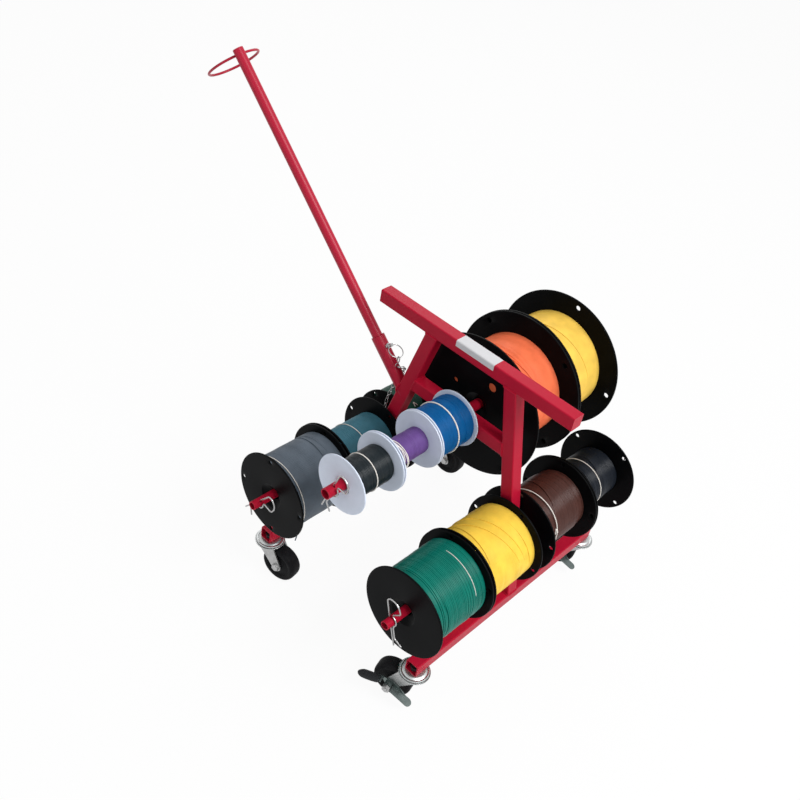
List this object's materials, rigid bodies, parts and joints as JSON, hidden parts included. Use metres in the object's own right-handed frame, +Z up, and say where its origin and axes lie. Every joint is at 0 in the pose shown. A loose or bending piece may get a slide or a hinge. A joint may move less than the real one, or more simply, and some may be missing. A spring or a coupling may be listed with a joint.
{
  "type": "wire feeder cart",
  "caption": "Red tube-frame cart on swivel casters, carrying reels of coloured wire on level spindles, with a leaning pole that ends in a guide ring.",
  "frame": {"origin": "on the floor under the middle of the outline", "axes": "+X across the cart, from the guide ring side to the other; +Y from front to back, along the spindles; +Z up"},
  "size_m": [0.89, 0.638, 0.8446],
  "materials": {
    "red_paint": "gloss powder coat",
    "zinc_steel": "bright zinc",
    "black_steel": "satin black",
    "tyre_black": "matt",
    "black_plastic": "satin moulded",
    "white_plastic": "satin moulded",
    "white_label": "satin film",
    "wire_green": "insulated wire, wound",
    "wire_amber": "insulated wire, wound",
    "wire_brown": "insulated wire, wound",
    "wire_charcoal": "insulated wire, wound",
    "wire_grey": "insulated wire, wound",
    "wire_teal": "insulated wire, wound",
    "wire_forest": "insulated wire, wound",
    "wire_black": "insulated wire, wound",
    "wire_purple": "insulated wire, wound",
    "wire_blue": "insulated wire, wound",
    "wire_orange": "insulated wire, wound",
    "wire_yellow": "insulated wire, wound"
  },
  "bodies": {
    "frame": {"left_rail": "red_paint", "right_rail": "red_paint", "left_leg": "red_paint", "right_leg": "red_paint", "left_spindle": "red_paint", "right_spindle": "red_paint", "centre_spindle": "red_paint", "top_crossbar": "red_paint", "middle_crossbar": "red_paint", "pole_socket": "red_paint", "pole": "red_paint", "guide_ring": "red_paint", "lanyard_chain": "zinc_steel", "chain_lug": "red_paint", "blank_label": "white_label", "hairpin_cotters": "zinc_steel", "caster_bolts": "black_steel", "upper_raceways": "zinc_steel"},
    "pull_pin": {"pull_pin": "zinc_steel", "pull_pin_ring": "zinc_steel"},
    "front_left_caster": {"front_left_fork": "zinc_steel", "front_left_axle": "zinc_steel"},
    "front_left_roller": {"front_left_wheel": "tyre_black"},
    "front_right_caster": {"front_right_fork": "zinc_steel", "front_right_axle": "zinc_steel"},
    "front_right_roller": {"front_right_wheel": "tyre_black"},
    "front_right_brake": {"front_right_brake_lever": "zinc_steel", "front_right_brake_pad": "black_plastic"},
    "rear_left_caster": {"rear_left_fork": "zinc_steel", "rear_left_axle": "zinc_steel"},
    "rear_left_roller": {"rear_left_wheel": "tyre_black"},
    "rear_right_caster": {"rear_right_fork": "zinc_steel", "rear_right_axle": "zinc_steel"},
    "rear_right_roller": {"rear_right_wheel": "tyre_black"},
    "rear_right_brake": {"rear_right_brake_lever": "zinc_steel", "rear_right_brake_pad": "black_plastic"},
    "green_spool": {"green_reel": "black_plastic", "green_winding": "wire_green"},
    "amber_spool": {"amber_reel": "black_plastic", "amber_winding": "wire_amber"},
    "brown_spool": {"brown_reel": "black_plastic", "brown_winding": "wire_brown"},
    "charcoal_spool": {"charcoal_reel": "black_plastic", "charcoal_winding": "wire_charcoal"},
    "grey_spool": {"grey_reel": "black_plastic", "grey_winding": "wire_grey"},
    "teal_spool": {"teal_reel": "black_plastic", "teal_winding": "wire_teal"},
    "forest_spool": {"forest_reel": "black_plastic", "forest_winding": "wire_forest"},
    "black_spool": {"black_reel": "white_plastic", "black_winding": "wire_black"},
    "purple_spool": {"purple_reel": "white_plastic", "purple_winding": "wire_purple"},
    "blue_spool": {"blue_reel": "white_plastic", "blue_winding": "wire_blue"},
    "orange_spool": {"orange_reel": "black_plastic", "orange_winding": "wire_orange"},
    "yellow_spool": {"yellow_reel": "black_plastic", "yellow_winding": "wire_yellow"}
  },
  "joints": [
    {"name": "pull_pin_slide", "type": "slide", "parent": "frame", "child": "pull_pin", "axis": [0.7318, 0, 0.6816], "range_m": [0, 0.03]},
    {"name": "front_left_swivel", "type": "hinge", "parent": "frame", "child": "front_left_caster", "pos_m": [0.01202, -0.242, 0.076], "axis": [0, 0, 1], "continuous": true},
    {"name": "front_left_roll", "type": "hinge", "parent": "front_left_caster", "child": "front_left_roller", "pos_m": [0.04353, -0.23644, 0.036], "axis": [-0.1736, 0.9848, 0], "continuous": true},
    {"name": "front_right_swivel", "type": "hinge", "parent": "frame", "child": "front_right_caster", "pos_m": [0.39002, -0.242, 0.076], "axis": [0, 0, 1], "continuous": true},
    {"name": "front_right_roll", "type": "hinge", "parent": "front_right_caster", "child": "front_right_roller", "pos_m": [0.35918, -0.25055, 0.036], "axis": [0.2672, -0.9636, 0], "continuous": true},
    {"name": "front_right_brake_tilt", "type": "hinge", "parent": "front_right_caster", "child": "front_right_brake", "pos_m": [0.35918, -0.25055, 0.036], "axis": [0.2672, -0.9636, 0], "range_deg": [0, 18]},
    {"name": "rear_left_swivel", "type": "hinge", "parent": "frame", "child": "rear_left_caster", "pos_m": [0.01202, 0.242, 0.076], "axis": [0, 0, 1], "continuous": true},
    {"name": "rear_left_roll", "type": "hinge", "parent": "rear_left_caster", "child": "rear_left_roller", "pos_m": [0.0439, 0.24479, 0.036], "axis": [-0.0872, 0.9962, 0], "continuous": true},
    {"name": "rear_right_swivel", "type": "hinge", "parent": "frame", "child": "rear_right_caster", "pos_m": [0.39002, 0.242, 0.076], "axis": [0, 0, 1], "continuous": true},
    {"name": "rear_right_roll", "type": "hinge", "parent": "rear_right_caster", "child": "rear_right_roller", "pos_m": [0.35918, 0.23345, 0.036], "axis": [0.2672, -0.9636, 0], "continuous": true},
    {"name": "rear_right_brake_tilt", "type": "hinge", "parent": "rear_right_caster", "child": "rear_right_brake", "pos_m": [0.35918, 0.23345, 0.036], "axis": [0.2672, -0.9636, 0], "range_deg": [0, 18]},
    {"name": "green_spool_turn", "type": "hinge", "parent": "frame", "child": "green_spool", "pos_m": [0.36252, -0.213, 0.234], "axis": [0, 1, 0], "continuous": true},
    {"name": "amber_spool_turn", "type": "hinge", "parent": "frame", "child": "amber_spool", "pos_m": [0.36252, -0.082, 0.234], "axis": [0, 1, 0], "continuous": true},
    {"name": "brown_spool_turn", "type": "hinge", "parent": "frame", "child": "brown_spool", "pos_m": [0.36252, 0.0805, 0.234], "axis": [0, 1, 0], "continuous": true},
    {"name": "charcoal_spool_turn", "type": "hinge", "parent": "frame", "child": "charcoal_spool", "pos_m": [0.36252, 0.2075, 0.234], "axis": [0, 1, 0], "continuous": true},
    {"name": "grey_spool_turn", "type": "hinge", "parent": "frame", "child": "grey_spool", "pos_m": [0.03952, -0.213, 0.234], "axis": [0, 1, 0], "continuous": true},
    {"name": "teal_spool_turn", "type": "hinge", "parent": "frame", "child": "teal_spool", "pos_m": [0.03952, -0.082, 0.234], "axis": [0, 1, 0], "continuous": true},
    {"name": "forest_spool_turn", "type": "hinge", "parent": "frame", "child": "forest_spool", "pos_m": [0.03952, 0.0805, 0.234], "axis": [0, 1, 0], "continuous": true},
    {"name": "black_spool_turn", "type": "hinge", "parent": "frame", "child": "black_spool", "pos_m": [0.20102, -0.24075, 0.39608], "axis": [0, 1, 0], "continuous": true},
    {"name": "purple_spool_turn", "type": "hinge", "parent": "frame", "child": "purple_spool", "pos_m": [0.20102, -0.15025, 0.39608], "axis": [0, 1, 0], "continuous": true},
    {"name": "blue_spool_turn", "type": "hinge", "parent": "frame", "child": "blue_spool", "pos_m": [0.20102, -0.05975, 0.39608], "axis": [0, 1, 0], "continuous": true},
    {"name": "orange_spool_turn", "type": "hinge", "parent": "frame", "child": "orange_spool", "pos_m": [0.20102, 0.1015, 0.39608], "axis": [0, 1, 0], "continuous": true},
    {"name": "yellow_spool_turn", "type": "hinge", "parent": "frame", "child": "yellow_spool", "pos_m": [0.20102, 0.2245, 0.39608], "axis": [0, 1, 0], "continuous": true}
  ]
}
